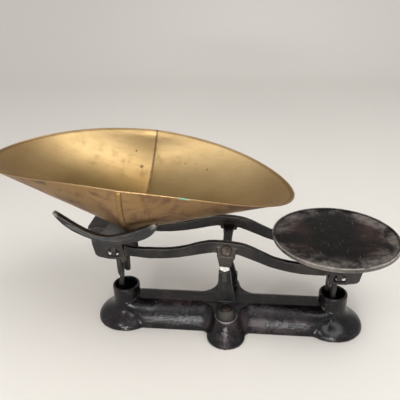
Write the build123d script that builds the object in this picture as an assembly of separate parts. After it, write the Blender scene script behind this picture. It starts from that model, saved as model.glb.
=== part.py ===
from build123d import *
import os
from math import atan, cos, degrees, radians, sin, sqrt, tan

os.makedirs("parts", exist_ok=True)

# Driving dimensions, in millimetres and degrees.
# X runs along the beam towards the weight plate, Y to the back, Z up from the table.
# The origin is on the table, under the middle of the knife edges.

# Base casting, whose middle lies a little to the plate side of the knife edges
base_x = 2.4
foot_inset = 5.5
foot_r = 39.5
lip_h = 5.0
cup_r = 17.6
cup_wall = 3.0
cup_top = 47.5
ring_wall = 16.0
bar_foot_w = 62.0
bar_top_w = 21.0
bar_h = 31.5
bar_lip_h = 3.0
channel_w = 40.0
channel_top_w = 17.0
bar_roof = 3.5
boss_foot_y = 38.8
boss_foot_r = 24.0
boss_y = 34.5
boss_r = 14.7
boss_roof = 9.0
foot_blend = 8.0
boss_blend = 24.0
seat_depth = 1.0
rest_rib_w = 14.0
rest_rib_h = 6.0

# Beam and its linkage
fulcrum_z = 94.0
arm_length = 138.5
end_drop = 3.0
rest_tilt = 5.0
beam_travel = 9.0
beam_arm_y = 33.2
beam_arm_t = 6.0
beam_end_w = 18.0
lug_top = 39.5
lug_face_top = 40.0
lug_face_low = 24.5
lug_nose = 22.8
holder_top = 21.5
lug_top_w = 23.6
lug_low_w = 20.8
lug_front_y = 42.0
holder_front_y = 37.5
holder_top_w = 20.4
holder_low_w = 12.8
rear_holder_w = 10.8
link_drop = 72.0
rod_w = 10.0
rod_h = 4.5
rod_sag = 8.5
rod_pin_r = 2.5
rod_hub_r = 4.8
link_eye_r = 4.5
link_pin_r = 2.0
leg_w = 6.0
leg_foot_r = 4.0
leg_t = 4.0

# Knife edges and their bearings
knife_w = 11.0
rear_knife_w = 8.0
knife_h = 8.0
knife_long = 8.0
knife_half_angle = 65.0
bearing_half_angle = 76.0
bearing_w = 6.4
bearing_h = 14.0
end_knife_w = 6.0
end_knife_h = 4.6
end_bearing_w = 7.2

# Posts
post_front_y = 34.0
post_back_y = 25.5
post_lean = 2.5
post_top_w = 13.6
rear_post_top_w = 9.6
post_foot_w = 22.6
pad_r = 12.0
pad_y = 36.0
pad_rise = 14.7
pad_slope = 12.0

# Screws
screw_head_r = 6.0
screw_head_h = 2.4
screw_shank_r = 2.4
screw_slot_w = 1.3
screw_slot_depth = 1.1

# Carriers
cheek_in_y = 11.5
cheek_t = 4.5
window_w = 14.4
window_up = 5.5
window_down = 6.0
prong_in_y = 9.0
prong_t = 3.5
prong_w = 5.6
prong_shift = 1.4
prong_drop = 38.0
web_drop = 10.5
web_h = 8.5
web_lap = 0.5
rivet_r = 1.2
rivet_wall = 0.7
rivet_head_r = 1.9
rivet_head_h = 1.2

# Scoop cradle
cradle_bar_long = 105.5
cradle_tip_inset = 29.8
cradle_bar_in_y = 71.9
cradle_bar_t = 7.0
cradle_arm_w = 40.0
cradle_arm_t = 5.0
deck_t = 4.2
deck_half_w = 20.0

# Scoop
scoop_half_length = 179.9
scoop_depth = 61.4
scoop_crown = 23.1
scoop_r = 102.6
scoop_sheet = 0.65
scoop_hem = 2.6
scoop_hem_t = 1.3
scoop_tilt = 6.6
scoop_inset = 38.2
scoop_tip_z = 202.3
seam_w = 6.0
seam_t = 0.8

# Weight plate
plate_r = 74.1
plate_inset = 8.8
plate_top_z = 129.6
plate_t = 6.6
plate_recess = 1.7
plate_lip_w = 3.2
plate_deck_r = 38.0
plate_deck_t = 6.0
spigot_r = 9.0
spigot_h = 3.0
plate_screw_long = 9.0

# Clearances
running_gap = 0.05
loose_gap = 0.3
seat_gap = 0.3
edge_gap = 0.1

# A length past every piece, for cuts that run right through
past_all = 400.0

# Places worked out from the sizes above
foot_x = arm_length - foot_inset
scoop_x = scoop_inset - arm_length
plate_x = arm_length - plate_inset
rod_pivot_z = fulcrum_z - link_drop
beam_axis = Axis((0, 0, fulcrum_z), (0, 1, 0))
rod_axis = Axis((0, 0, rod_pivot_z), (0, 1, 0))
screw_y = pad_y + 4.0
boss_top = bar_h - 0.5
boss_floor = boss_top - seat_depth
pad_front_z = boss_floor + pad_rise
rivet_shift = prong_shift + prong_w + rivet_head_r + running_gap
rear_prong_shift = rivet_shift + rivet_r + rivet_wall - prong_w


def end_pivot(side):
    # Place of one end knife edge in the rest pose, side -1 at the scoop and +1 at the plate
    turn = radians(rest_tilt)
    x = side * arm_length * cos(turn) - end_drop * sin(turn)
    z = fulcrum_z - side * arm_length * sin(turn) - end_drop * cos(turn)
    return x, z


def across(outline, low_y, high_y):
    # Solid with this XZ outline, running across the scale from low_y to high_y
    face = make_face(outline)
    return extrude(Pos(0, high_y, 0) * face, high_y - low_y, dir=(0, -1, 0))


def along(outline, low_x, high_x):
    # Solid with this YZ outline, running along the scale from low_x to high_x
    face = make_face(outline)
    return extrude(Pos(low_x, 0, 0) * face, high_x - low_x, dir=(1, 0, 0))


def xz(points):
    return Polyline(*[(x, 0, z) for x, z in points], close=True)


def yz(points):
    return Polyline(*[(0, y, z) for y, z in points], close=True)


def block(low, high):
    size = [b - a for a, b in zip(low, high)]
    middle = [(a + b) / 2 for a, b in zip(low, high)]
    return Pos(*middle) * Box(*size)


def pin_across(x, z, radius, low_y, high_y):
    length = high_y - low_y
    return Pos(x, (low_y + high_y) / 2, z) * Rot(90, 0, 0) * Cylinder(radius, length)


def both_sides(shape):
    return [shape, mirror(shape, about=Plane.XZ)]


def edge_fall(half_width, half_angle):
    # How far a V drops over half its width
    return half_width / tan(radians(half_angle))


def save(name, *solids):
    shape = solids[0] if len(solids) == 1 else Compound(children=list(solids))
    shape.label = name
    export_step(shape, "parts/" + name + ".step")


# Base: two bell feet with open cups, a hollow bar between them and two middle feet

def bell_foot():
    flare_r = cup_r + 6.0
    flare_z = lip_h + 15.0
    shoulder_r = foot_r - 1.2
    outline = Polyline((0, 0, 0), (foot_r, 0, 0), (foot_r, 0, lip_h), (shoulder_r, 0, lip_h + 0.8))
    dome = ThreePointArc(
        (shoulder_r, 0, lip_h + 0.8),
        (foot_r - 7.0, 0, lip_h + 9.2),
        (flare_r, 0, flare_z),
    )
    throat = ThreePointArc(
        (flare_r, 0, flare_z),
        (cup_r + 1.9, 0, flare_z + 3.6),
        (cup_r, 0, flare_z + 9.5),
    )
    top = Polyline(
        (cup_r, 0, flare_z + 9.5),
        (cup_r, 0, cup_top - 1.0),
        (cup_r - 0.8, 0, cup_top),
        (0, 0, cup_top),
        (0, 0, 0),
    )
    face = make_face([outline, dome, throat, top])
    return revolve(face, Axis.Z)


def bell_hollow():
    bore_r = cup_r - cup_wall
    ring_r = foot_r - ring_wall
    lower = lip_h + 9.0
    upper = lower + 10.0
    outline = Polyline(
        (0, 0, -1),
        (ring_r, 0, -1),
        (ring_r, 0, lower),
        (bore_r, 0, upper),
        (bore_r, 0, cup_top + 1),
        (0, 0, cup_top + 1),
        close=True,
    )
    return revolve(make_face(outline), Axis.Z)


bar_side = ThreePointArc(
    (bar_foot_w / 2, bar_lip_h, 0),
    (bar_foot_w / 2 - 5.5, bar_h * 0.6, 0),
    (bar_top_w / 2, bar_h, 0),
)


def bar_half(z):
    # Half the bar's width at a height, on the arc of its side
    centre = bar_side.arc_center
    return centre.X + sqrt(bar_side.radius ** 2 - (max(z, bar_lip_h) - centre.Y) ** 2)


def bar_shell():
    half_foot = bar_foot_w / 2
    half_top = bar_top_w / 2
    mid_z = bar_h * 0.6
    sides = []
    for side in (1, -1):
        sides.append(
            ThreePointArc(
                (0, side * half_foot, bar_lip_h),
                (0, side * bar_half(mid_z), mid_z),
                (0, side * half_top, bar_h),
            )
        )
    floor = Polyline(
        (0, -half_foot, bar_lip_h), (0, -half_foot, 0), (0, half_foot, 0), (0, half_foot, bar_lip_h)
    )
    roof = Line((0, half_top, bar_h), (0, -half_top, bar_h))
    return along([floor, sides[0], roof, sides[1]], -foot_x, foot_x)


def bar_hollow():
    half_foot = channel_w / 2
    half_top = channel_top_w / 2
    roof_z = bar_h - bar_roof
    shoulder_z = roof_z * 0.3
    outline = yz(
        [
            (-half_foot, -1),
            (half_foot, -1),
            (half_foot, shoulder_z),
            (half_foot - 4, roof_z * 0.72),
            (half_top, roof_z),
            (-half_top, roof_z),
            (4 - half_foot, roof_z * 0.72),
            (-half_foot, shoulder_z),
        ]
    )
    return along(outline, -foot_x, foot_x)


def foot_section(z, centre_y, radius, blend):
    # Outline of a middle foot at a height, with hollow corners that run into the bar's side
    half = bar_half(z)
    lean = centre_y - half - blend
    corner_x = sqrt((radius + blend) ** 2 - lean ** 2)
    share = radius / (radius + blend)
    touch = (corner_x * share, lean * share - centre_y)
    right = TangentArc((corner_x, -half), touch, tangent=(-1, 0))
    left = mirror(right, about=Plane.YZ)
    front = ThreePointArc(right @ 1, (0, -centre_y - radius), left @ 1)
    inner = half - 2.5
    back = Polyline(
        (corner_x, -half), (corner_x, -inner), (-corner_x, -inner), (-corner_x, -half)
    )
    return Pos(0, 0, z) * make_face([right, front, left, back])


def middle_foot():
    # Leaning cone from the round middle foot up to the boss that carries a post
    lip = lip_h * 0.8
    mid_z = lip + 9.0
    high = boss_top
    sections = [
        foot_section(lip, boss_foot_y, boss_foot_r - 0.8, foot_blend),
        foot_section(mid_z, boss_foot_y - 1.9, boss_foot_r - 4.8, foot_blend + 4.0),
        foot_section(high, boss_y, boss_r, boss_blend),
    ]
    rim = extrude(Pos(0, 0, -lip) * foot_section(lip, boss_foot_y, boss_foot_r, foot_blend), lip)
    seat = Pos(0, -pad_y, boss_floor + 5) * Cylinder(pad_r + seat_gap, 10)
    return loft(sections) + rim, seat


def middle_hollow():
    rings = [
        Pos(0, -boss_foot_y, -1) * Circle(boss_foot_r - 8.5),
        Pos(0, -boss_y, boss_top - boss_roof) * Circle(boss_r - 6.5),
    ]
    return loft(rings)


def make_base():
    bell = bell_foot()
    solid = bar_shell() + Pos(foot_x, 0, 0) * bell + Pos(-foot_x, 0, 0) * bell
    foot, seat = middle_foot()
    for shape in both_sides(foot):
        solid += shape
    hollow = bell_hollow()
    solid -= bar_hollow()
    solid -= Pos(foot_x, 0, 0) * hollow
    solid -= Pos(-foot_x, 0, 0) * hollow
    for shape in both_sides(middle_hollow()):
        solid -= shape
    for shape in both_sides(seat):
        solid -= shape
    for shape in both_sides(Pos(0, -screw_y, boss_floor) * Cylinder(screw_shank_r, 2 * boss_roof)):
        solid -= shape
    # Ribs that carry the rod's pin, with the flat rest rib under them
    rib_in = rod_w / 2 + loose_gap
    rib_out = rib_in + 4.0
    rib_low = rod_pivot_z - rod_pin_r - 3.5
    rib_x = -base_x
    for side in (1, -1):
        edges = sorted((side * rib_in, side * rib_out))
        solid += block((rib_x - 6, edges[0], rib_low), (rib_x + 6, edges[1], bar_h - 1))
    solid -= pin_across(rib_x, rod_pivot_z, rod_pin_r, -rib_out - 1, rib_out + 1)
    half_rib = channel_w / 2 + 1.5
    solid += block((-rest_rib_w / 2, -half_rib, 0), (rest_rib_w / 2, half_rib, rest_rib_h))
    # Stop ribs in the bar's roof meet the rod when the beam is at the end of its swing
    stop_x = arm_length - 36.0
    for side, swing in ((-1, rest_tilt), (1, beam_travel - rest_tilt)):
        turn = radians(swing)
        rod_top = (rod_h / 2 - rod_sag) * cos(turn) + stop_x * sin(turn)
        stop_z = rod_pivot_z + rod_top + loose_gap + 0.5
        middle = side * stop_x - base_x
        solid += block(
            (middle - 2, -channel_top_w / 2 - 1, stop_z),
            (middle + 2, channel_top_w / 2 + 1, bar_h - 1),
        )
    return Pos(base_x, 0, 0) * solid


save("base", make_base())
save("check_pin", pin_across(0, rod_pivot_z, rod_pin_r, -rod_w / 2 - 4.3, rod_w / 2 + 4.3))


# Posts with a round screwed pad, a tapering upright and a slot for the bearing

bearing_top = fulcrum_z - edge_gap + edge_fall(bearing_w / 2, bearing_half_angle)
post_top = fulcrum_z - 1.2
pad_top_back = pad_front_z + (pad_y + pad_r - post_front_y) * tan(radians(pad_slope))


def make_post(top_w):
    waist_z = (post_top + pad_front_z) / 2
    waist_w = top_w + 0.2 * (post_foot_w - top_w) + 2.0
    waist_x = base_x * 0.4
    front_view = xz(
        [
            (base_x - post_foot_w / 2, boss_floor + 6),
            (base_x + post_foot_w / 2, boss_floor + 6),
            (base_x + post_foot_w / 2, pad_top_back),
            (waist_x + waist_w / 2, waist_z),
            (top_w / 2, post_top),
            (-top_w / 2, post_top),
            (waist_x - waist_w / 2, waist_z),
            (base_x - post_foot_w / 2, pad_top_back),
        ]
    )
    side_view = yz(
        [
            (post_lean - post_front_y, boss_floor + 6),
            (post_lean - post_front_y, pad_top_back),
            (-post_front_y, post_top),
            (-post_back_y, post_top),
            (-post_back_y - 1.0, pad_top_back),
            (-post_back_y - 1.0, boss_floor + 6),
        ]
    )
    upright = across(front_view, -past_all, 0) & along(side_view, -post_foot_w, post_foot_w)
    pad = Pos(base_x, -pad_y, boss_floor + 15) * Cylinder(pad_r, 30)
    slope_run = 2 * pad_r + 10
    slope_drop = slope_run * tan(radians(pad_slope))
    front = -pad_y - pad_r
    over_pad = yz(
        [
            (front - 5, pad_front_z - 5 * tan(radians(pad_slope))),
            (front - 5, 90),
            (front - 5 + slope_run, 90),
            (front - 5 + slope_run, pad_front_z - 5 * tan(radians(pad_slope)) + slope_drop),
        ]
    )
    pad -= along(over_pad, -past_all, past_all)
    post = pad + upright
    # Screw seat, bored straight down into the sloping pad
    head_z = pad_front_z - 0.6
    post -= Pos(base_x, -screw_y, head_z + 10) * Cylinder(screw_head_r + 0.5, 20)
    post -= Pos(base_x, -screw_y, head_z - 20) * Cylinder(screw_shank_r + 0.15, 60)
    slot_back = post_back_y + 2.0
    slot = block(
        (-bearing_w / 2, -post_front_y - 3, post_top - bearing_h),
        (bearing_w / 2, -slot_back, post_top + 5),
    )
    return post - slot, head_z, slot_back


def make_post_bearing(slot_back):
    body = block(
        (-bearing_w / 2, -post_front_y + 0.1, post_top - bearing_h),
        (bearing_w / 2, -slot_back, bearing_top),
    )
    fall = edge_fall(bearing_w, bearing_half_angle)
    notch = xz(
        [
            (0, fulcrum_z - edge_gap),
            (bearing_w, fulcrum_z - edge_gap + fall),
            (-bearing_w, fulcrum_z - edge_gap + fall),
        ]
    )
    return body - across(notch, -past_all, 0)


def slotted_screw(length):
    # Domed head on a plain shank, its head seat at the origin
    head = Cylinder(screw_head_r, 2 * screw_head_h)
    dome = Pos(0, 0, screw_head_h - 14.0) * Sphere(14.0)
    head = head & dome
    head -= Pos(0, 0, -screw_head_h) * Box(20, 20, 2 * screw_head_h)
    head -= Pos(0, 0, screw_head_h) * Box(20, screw_slot_w, 2 * screw_slot_depth)
    shank = Pos(0, 0, -length / 2) * Cylinder(screw_shank_r, length)
    return head + shank


front_post, screw_seat_z, slot_back_y = make_post(post_top_w)
rear_post = mirror(make_post(rear_post_top_w)[0], about=Plane.XZ)
save("front_post", front_post)
save("rear_post", rear_post)
save("post_bearings", *both_sides(make_post_bearing(slot_back_y)))
post_screw_length = screw_seat_z - boss_floor + boss_roof - seat_depth - 1.5
turned_screw = Rot(0, 0, 25) * slotted_screw(post_screw_length)
save("post_screws", *both_sides(Pos(base_x, -screw_y, screw_seat_z) * turned_screw))


# Beam: a long ring with two arms, drawn in its level position and turned to rest

arm_out_y = beam_arm_y + beam_arm_t / 2
arm_in_y = beam_arm_y - beam_arm_t / 2
beam_shoulder_x = arm_length - 45.0
beam_neck_x = arm_length - 11.5
arm_top = [(0, 40.6), (22, 38.6), (45, 30.0), (70, 22.0), (92, 18.6), (108, 17.4)]
arm_bottom = [(0, 27.0), (15, 25.0), (40, 17.4), (62, 11.0), (82, 6.6), (98, 6.2)]
beam_end_top = 9.0
beam_end_low = 8.5
lug_low = 8.0


def level(points):
    return [(x, 0, fulcrum_z + z) for x, z in points]


def beam_elevation():
    # Side view of the arms from end block to end block
    end_x = arm_length - 8.0
    top = arm_top + [(arm_length - 14.0, 12.5), (end_x, beam_end_top)]
    bottom = arm_bottom + [(arm_length - 18.0, 0.5), (end_x, -beam_end_low + 2)]
    mirrored_top = [(-x, z) for x, z in reversed(top[1:])] + top
    mirrored_bottom = [(-x, z) for x, z in reversed(bottom[1:])] + bottom
    upper = Spline(*level(mirrored_top))
    lower = Spline(*level(mirrored_bottom))
    right = Line(level([top[-1]])[0], level([bottom[-1]])[0])
    left = Line(upper @ 0, lower @ 0)
    return across([upper, right, lower, left], -arm_out_y - 2, arm_out_y + 2)


def ring_face(half_width, neck_half, shoulder, neck, end_x):
    # Plan outline of one edge of the ring: straight sides, then an S curve into each end
    top = []
    for side in (1, -1):
        middle = (side * (shoulder + neck) / 2, (half_width + neck_half) / 2)
        first = TangentArc((side * shoulder, half_width), middle, tangent=(side, 0))
        second = TangentArc(middle, (side * neck, neck_half), tangent=first % 1)
        tail = Line((side * neck, neck_half), (side * end_x, neck_half))
        top += [first, second, tail]
    top.append(Line((-shoulder, half_width), (shoulder, half_width)))
    bottom = [mirror(edge, about=Plane.XZ) for edge in top]
    ends = [Line((side * end_x, neck_half), (side * end_x, -neck_half)) for side in (1, -1)]
    return make_face(top + bottom + ends)


def beam_plan():
    outer = ring_face(
        arm_out_y, beam_end_w / 2, beam_shoulder_x, beam_neck_x, arm_length
    )
    inner = ring_face(
        arm_in_y,
        beam_end_w / 2 - 5.5,
        beam_shoulder_x - 2,
        beam_neck_x - 3.5,
        beam_neck_x - 2.5,
    )
    return extrude(outer - inner, 300)


def end_block(side):
    width = 21.0
    height = beam_end_top + beam_end_low
    plate = Rectangle(width, height)
    plate = fillet(plate.vertices(), 5.5)
    face = Rot(90, 0, 0) * plate
    solid = extrude(face, beam_end_w / 2, both=True, dir=(0, 1, 0))
    middle_z = fulcrum_z + (beam_end_top - beam_end_low) / 2
    return Pos(side * arm_length, 0, middle_z) * solid


def cross_bar():
    half_mid = 5.2
    half_end = 7.6
    edges = []
    for side in (1, -1):
        edges.append(
            ThreePointArc(
                (side * half_end, -arm_in_y - 1, 0),
                (side * half_mid, 0, 0),
                (side * half_end, arm_in_y + 1, 0),
            )
        )
    caps = [Line((-half_end, y, 0), (half_end, y, 0)) for y in (-arm_in_y - 1, arm_in_y + 1)]
    return Pos(0, 0, fulcrum_z + 20.8) * extrude(make_face(edges + caps), 8.2)


knife_front_y = post_front_y + 1.2
knife_back_y = knife_front_y - knife_long
lug_face = [(-arm_in_y - 2.0, lug_face_top), (-lug_front_y, lug_face_low)]


def make_lug():
    # Wedge on the outside of an arm, over the knife edge
    side_view = yz(
        [
            (-arm_in_y, fulcrum_z + lug_top),
            (lug_face[0][0], fulcrum_z + lug_face[0][1]),
            (lug_face[1][0], fulcrum_z + lug_face[1][1]),
            (-lug_front_y, fulcrum_z + lug_nose),
            (-lug_front_y + 1.5, fulcrum_z + holder_top),
            (-arm_in_y, fulcrum_z + holder_top),
        ]
    )
    front_view = xz(
        [
            (-lug_top_w / 2, fulcrum_z + lug_face_top),
            (lug_top_w / 2, fulcrum_z + lug_face_top),
            (lug_low_w / 2, fulcrum_z + holder_top),
            (-lug_low_w / 2, fulcrum_z + holder_top),
        ]
    )
    return along(side_view, -lug_top_w, lug_top_w) & across(front_view, -past_all, 0)


def make_holder(top_w, low_w, edge_w):
    # Tapering block under the lug, slotted for the knife edge
    front_view = xz(
        [
            (-top_w / 2, fulcrum_z + holder_top),
            (top_w / 2, fulcrum_z + holder_top),
            (low_w / 2, fulcrum_z + lug_low),
            (-low_w / 2, fulcrum_z + lug_low),
        ]
    )
    holder = across(front_view, -holder_front_y, -knife_back_y)
    slot_top = fulcrum_z + edge_fall(edge_w / 2, knife_half_angle) + knife_h
    return holder - block(
        (-edge_w / 2, -knife_front_y, fulcrum_z),
        (edge_w / 2, -knife_back_y, slot_top),
    )


def make_centre_knife(edge_w):
    fall = edge_fall(edge_w / 2, knife_half_angle)
    outline = xz(
        [
            (0, fulcrum_z),
            (edge_w / 2, fulcrum_z + fall),
            (edge_w / 2, fulcrum_z + fall + knife_h),
            (-edge_w / 2, fulcrum_z + fall + knife_h),
            (-edge_w / 2, fulcrum_z + fall),
        ]
    )
    return across(outline, -knife_front_y, -knife_back_y)


def end_knife_outline(x, z):
    fall = edge_fall(end_knife_w / 2, 48.0)
    return xz(
        [
            (x, z),
            (x + end_knife_w / 2, z - fall),
            (x + end_knife_w / 2, z - end_knife_h),
            (x - end_knife_w / 2, z - end_knife_h),
            (x - end_knife_w / 2, z - fall),
        ]
    )


def make_end_knives():
    reach = cheek_in_y + cheek_t - 0.4
    knives = []
    for side in (-1, 1):
        outline = end_knife_outline(side * arm_length, fulcrum_z - end_drop)
        knives.append(across(outline, -reach, reach))
    return knives


# The knife screw stands square to the lug's sloping face, a little below its middle
face_y = lug_face[0][0] - lug_face[1][0]
face_z = lug_face[0][1] - lug_face[1][1]
knife_screw_tilt = degrees(atan(face_z / face_y))
knife_screw_place = Pos(
    0, lug_face[1][0] + 0.42 * face_y, fulcrum_z + lug_face[1][1] + 0.42 * face_z
) * Rot(knife_screw_tilt, 0, 0)
knife_screw_sink = 1.6
knife_screw_long = 9.0
end_knives = make_end_knives()


def make_beam():
    beam = beam_elevation() & beam_plan()
    beam += cross_bar()
    for side in (-1, 1):
        beam += end_block(side)
    for lug in both_sides(make_lug()):
        beam += lug
    for knife in end_knives:
        beam -= knife
    # Flat seats milled for the knife holders
    for low_y in (-lug_front_y, knife_back_y - 1):
        beam -= block(
            (-lug_low_w / 2 - 1, low_y, fulcrum_z),
            (lug_low_w / 2 + 1, low_y + lug_front_y - knife_back_y + 1, fulcrum_z + holder_top),
        )
    seat = Pos(0, 0, 5 - knife_screw_sink) * Cylinder(screw_head_r + 0.3, 10)
    hole = Pos(0, 0, -knife_screw_sink) * Cylinder(screw_shank_r, 2 * knife_screw_long)
    for cut in both_sides(knife_screw_place * (seat + hole)):
        beam -= cut
    return beam


def lay_to_rest(solids, axis):
    return [solid.rotate(axis, rest_tilt) for solid in solids]


beam = make_beam()
front_holder = make_holder(holder_top_w, holder_low_w, knife_w)
rear_holder = make_holder(rear_holder_w, rear_holder_w - 0.4, rear_knife_w)
holders = [front_holder, mirror(rear_holder, about=Plane.XZ)]
centre_knives = [
    make_centre_knife(knife_w),
    mirror(make_centre_knife(rear_knife_w), about=Plane.XZ),
]
knife_screw = Pos(0, 0, -knife_screw_sink) * Rot(0, 0, 70) * slotted_screw(knife_screw_long)
knife_screws = both_sides(knife_screw_place * knife_screw)
save("beam", *lay_to_rest([beam], beam_axis))
save("knife_holders", *lay_to_rest(holders, beam_axis))
save("centre_knives", *lay_to_rest(centre_knives, beam_axis))
save("knife_screws", *lay_to_rest(knife_screws, beam_axis))
save("end_knives", *lay_to_rest(end_knives, beam_axis))


# Check rod under the base's bar, a steel strip with a hub and two forked ends

def make_check_rod():
    z0 = rod_pivot_z
    body_low = z0 - rod_sag - rod_h / 2
    body_high = body_low + rod_h
    crank_in = arm_length - 18.5
    crank_out = arm_length - 8.5
    end_low = z0 - end_drop - rod_h / 2
    end_high = end_low + rod_h
    outline = xz(
        [
            (-arm_length, end_low),
            (-crank_out, end_low),
            (-crank_in, body_low),
            (crank_in, body_low),
            (crank_out, end_low),
            (arm_length, end_low),
            (arm_length, end_high),
            (crank_out, end_high),
            (crank_in, body_high),
            (14, body_high),
            (rod_hub_r, z0),
            (-rod_hub_r, z0),
            (-14, body_high),
            (-crank_in, body_high),
            (-crank_out, end_high),
            (-arm_length, end_high),
        ]
    )
    rod = across(outline, -rod_w / 2, rod_w / 2)
    rod += pin_across(0, z0, rod_hub_r, -rod_w / 2, rod_w / 2)
    rod -= pin_across(0, z0, rod_pin_r + running_gap, -rod_w, rod_w)
    slot_half = leg_t / 2 + loose_gap
    for side in (-1, 1):
        x = side * arm_length
        z = z0 - end_drop
        rod += pin_across(x, z, link_eye_r, -rod_w / 2, rod_w / 2)
        rod -= pin_across(x, z, link_pin_r + loose_gap, -rod_w, rod_w)
        low, high = sorted((x - side * (leg_foot_r + 3.0), x + side * 20))
        rod -= block((low, -slot_half, z - 20), (high, slot_half, z + 20))
    return rod


save("check_rod", *lay_to_rest([make_check_rod()], rod_axis))


# Carriers: castings that hang on the end knife edges, with a leg down to the rod

def window(x, z, low_y, high_y, half_width=window_w / 2):
    # Arched opening in a cheek, flat at the bottom
    shoulder = z + window_up - window_w / 2
    arch = ThreePointArc(
        (x + window_w / 2, 0, shoulder), (x, 0, z + window_up), (x - window_w / 2, 0, shoulder)
    )
    sides = Polyline(
        (x - window_w / 2, 0, shoulder),
        (x - window_w / 2, 0, z - window_down),
        (x + window_w / 2, 0, z - window_down),
        (x + window_w / 2, 0, shoulder),
    )
    whole = across([arch, sides], low_y, high_y)
    return whole & block((x - half_width, low_y, z - 30), (x + half_width, high_y, z + 30))


def cheek(out, x, z, top_z):
    # Front cheek with its window, from the deck down past the knife edge
    outline = xz(
        [
            (x - out * 12.0, top_z),
            (x - out * 12.0, z - 9.8),
            (x + out * 7.0, z - 9.8),
            (x + out * 20.0, z - 7.2),
            (x + out * 23.2, z - 4.0),
            (x + out * 26.2, z + 12.0),
            (x + out * 26.2, top_z),
        ]
    )
    outer_y = cheek_in_y + cheek_t
    solid = across(outline, -outer_y, -cheek_in_y)
    return solid - window(x, z, -outer_y - 1, -cheek_in_y + 1)


def prong(out, x, z, shift):
    # Tapering prong in front of the leg, its root spread under the cheek
    near = x - out * shift
    far = x - out * (shift + prong_w)
    low = z - prong_drop
    front_view = xz(
        [
            (near, z - 7.6),
            (near, low + 3.0),
            (near - out * 1.6, low),
            (far + out * 1.6, low),
            (far, low + 3.0),
            (far, z - 7.6),
        ]
    )
    outer_y = prong_in_y + prong_t
    side_view = yz(
        [
            (-prong_in_y, z - 7.6),
            (-outer_y - 2.5, z - 7.6),
            (-outer_y, z - web_drop - 2.0),
            (-outer_y, z - web_drop - web_h - 3.0),
            (-prong_in_y - 1.6, low),
            (-prong_in_y, low),
        ]
    )
    low_x, high_x = sorted((near, far))
    return across(front_view, -outer_y - 5, 0) & along(side_view, low_x - 1, high_x + 1)


def rivet_place(out, x, z):
    return x - out * rivet_shift, z - web_drop - web_h / 2


def rivet_hole(out, x, z):
    hole_x, hole_z = rivet_place(out, x, z)
    return pin_across(hole_x, hole_z, rivet_r, -20, 20)


def carrier_frame(out, x, z, top_z):
    # Both cheeks and prongs, and the web between the prongs that holds the leg
    pieces = both_sides(cheek(out, x, z, top_z))
    pieces.append(prong(out, x, z, prong_shift))
    pieces.append(mirror(prong(out, x, z, rear_prong_shift), about=Plane.XZ))
    top = z - web_drop
    reach = sorted((x - out * prong_shift, x - out * (rivet_shift + rivet_head_r)))
    half = prong_in_y + web_lap
    frame = block((reach[0], -half, top - web_h), (reach[1], half, top))
    frame -= block((x - 20, -leg_t / 2, top - 20), (x + 20, leg_t / 2, top - 1.5))
    for piece in pieces:
        frame += piece
    return frame


def end_bearings(x, z):
    # V blocks in the crowns of the two windows, resting on the knife edge
    low_y = cheek_in_y
    high_y = cheek_in_y + cheek_t
    half = end_bearing_w / 2
    body = window(x, z, -high_y, -low_y, half)
    fall = edge_fall(half * 2, bearing_half_angle)
    below = xz(
        [
            (x, z + edge_gap),
            (x + half * 2, z + edge_gap - fall),
            (x + half * 2, z - 20),
            (x - half * 2, z - 20),
            (x - half * 2, z + edge_gap - fall),
        ]
    )
    lip = z - edge_fall(half, bearing_half_angle) + edge_gap
    body -= across(below, -30, 0)
    body -= block((x - 20, -30, z - 30), (x + 20, 0, lip))
    return both_sides(body)


def make_leg(out, x, z):
    # Flat leg from the web down to the rod, its foot straight under the knife edge
    foot_z = z - link_drop
    top = z - web_drop - 1.5 - running_gap
    near = x - out * prong_shift
    outline = xz(
        [
            (near, top),
            (x - out * (rivet_shift + rivet_head_r), top),
            (x - out * (rivet_shift + rivet_head_r), top - web_h),
            (near - out * leg_w, top - web_h - 5.0),
            (x - out * leg_foot_r, foot_z + 6.0),
            (x - out * leg_foot_r, foot_z),
            (x + out * leg_foot_r, foot_z),
            (x + out * leg_foot_r, foot_z + 6.0),
            (near, top - web_h - 20.0),
        ]
    )
    strip = across(outline, -leg_t / 2, leg_t / 2)
    strip += pin_across(x, foot_z, leg_foot_r, -leg_t / 2, leg_t / 2)
    strip -= pin_across(x, foot_z, link_pin_r, -leg_t, leg_t)
    return strip - rivet_hole(out, x, z)


def make_foot_pin(x, z):
    return pin_across(x, z - link_drop, link_pin_r, -rod_w / 2 - 0.6, rod_w / 2 + 0.6)


def make_rivet(out, x, z):
    # Its heads lie on the web at the front and on the rear prong at the back
    front = -prong_in_y - web_lap
    back = prong_in_y + prong_t
    middle_x, middle_z = rivet_place(out, x, z)
    rivet = pin_across(middle_x, middle_z, rivet_r, front, back)
    for face_y in (front - rivet_head_h, back):
        rivet += pin_across(middle_x, middle_z, rivet_head_r, face_y, face_y + rivet_head_h)
    return rivet


# Scoop cradle: two curved bars on a cross deck

scoop_slope = degrees(atan(scoop_depth / scoop_half_length))
scoop_place = Pos(scoop_x, 0, scoop_tip_z) * Rot(0, scoop_tilt, 0)
vertex_x = scoop_x - scoop_depth * sin(radians(scoop_tilt))
vertex_z = scoop_tip_z - scoop_depth * cos(radians(scoop_tilt))
cradle_tip_x = scoop_x + cradle_tip_inset


def underside(x, y):
    # Height of the scoop's plate-side half under a point
    tilt = radians(scoop_tilt)
    slope = tan(radians(scoop_slope) - tilt)
    belly = scoop_r - sqrt(scoop_r ** 2 - y ** 2)
    return vertex_z + slope * (x - vertex_x) + belly * (cos(tilt) - slope * sin(tilt))


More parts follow.
